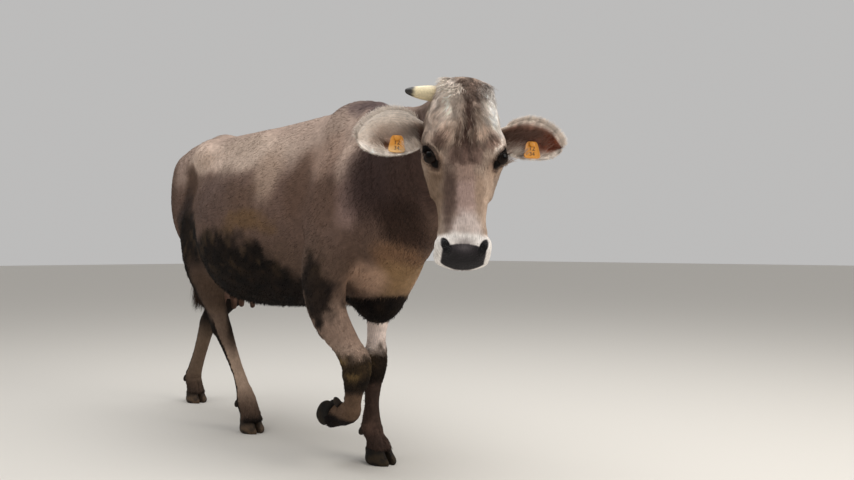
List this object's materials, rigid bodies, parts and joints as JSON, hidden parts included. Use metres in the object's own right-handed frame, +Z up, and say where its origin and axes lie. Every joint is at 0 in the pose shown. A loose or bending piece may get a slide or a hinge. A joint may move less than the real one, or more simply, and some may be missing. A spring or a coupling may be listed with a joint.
{
  "type": "dairy cow",
  "caption": "Life-size brown dairy cow in mid stride, head turned to its right, with one short horn, a tag in each ear and a hanging tail.",
  "frame": {"origin": "on the floor, under the middle of the box round the whole animal", "axes": "+X runs forward along the back from the tail to the head end, +Y to the cow's left, +Z up"},
  "size_m": [2.7164, 0.8044, 1.4387],
  "materials": {
    "flank_coat": "short brown coat, lying flat, dusty",
    "dark_coat": "short dark brown coat",
    "face_coat": "short pale coat with a white ring round the muzzle",
    "leg_coat": "short coat, muddy at knees and feet",
    "ear_coat": "pale coat with a long fringe",
    "udder_skin": "bare skin with fine hair",
    "long_hair": "coarse dark hair",
    "hoof": "horn of the hoof, muddy",
    "horn": "cream horn with a black tip",
    "eye": "wet dark brown eye",
    "tag": "yellow ear tag"
  },
  "bodies": {
    "root": {"claw_fore_left_left": "hoof", "claw_fore_left_right": "hoof", "claw_fore_right_left": "hoof", "claw_fore_right_right": "hoof", "claw_hind_left_left": "hoof", "claw_hind_left_right": "hoof", "claw_hind_right_left": "hoof", "claw_hind_right_right": "hoof", "dewclaw_fore_left_left": "hoof", "dewclaw_fore_left_right": "hoof", "dewclaw_fore_right_left": "hoof", "dewclaw_fore_right_right": "hoof", "dewclaw_hind_left_left": "hoof", "dewclaw_hind_left_right": "hoof", "dewclaw_hind_right_left": "hoof", "dewclaw_hind_right_right": "hoof", "ear_left": "ear_coat", "ear_right": "ear_coat", "eye_left": "eye", "eye_right": "eye", "fore_leg_left": "leg_coat", "fore_leg_right": "leg_coat", "head": "face_coat", "hind_leg_left": "leg_coat", "hind_leg_right": "leg_coat", "horn_right": "horn", "neck": "dark_coat", "tag_left": "tag", "tag_right": "tag", "tail": "flank_coat", "tail_switch": "long_hair", "trunk": "flank_coat", "udder": "udder_skin"}
  },
  "joints": []
}
